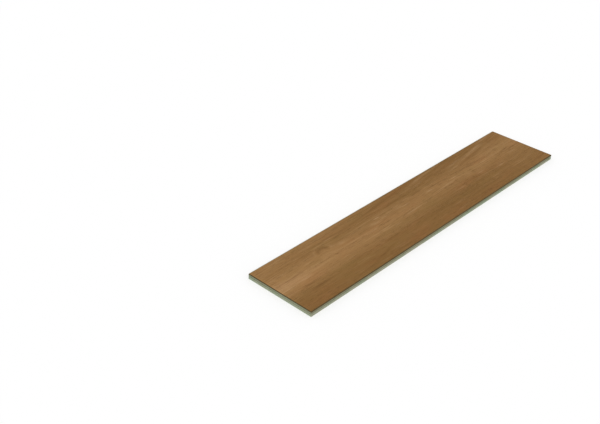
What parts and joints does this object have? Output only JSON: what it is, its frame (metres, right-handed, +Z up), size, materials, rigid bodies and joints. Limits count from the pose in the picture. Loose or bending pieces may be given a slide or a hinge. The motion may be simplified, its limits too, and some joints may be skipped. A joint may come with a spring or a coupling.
{
  "type": "herringbone laminate plank",
  "caption": "Short laminate floor plank for laying in a herringbone: a fibreboard core with a bevelled wood-look face, tongue and groove on all sides.",
  "frame": {"origin": "on the underside, below the middle of the face", "axes": "+X along the plank towards the end with the tongue, +Y across it towards the side with the tongue, +Z up out of the face"},
  "size_m": [0.669, 0.137, 0.01],
  "materials": {
    "hdf_core": "milled grey-green fibreboard, matte, with brown paint on the bevel",
    "decor_layer": "printed brown oak, satin, with a fine pressed grain"
  },
  "bodies": {
    "root": {"hdf_core": "hdf_core", "decor_layer": "decor_layer"}
  },
  "joints": []
}
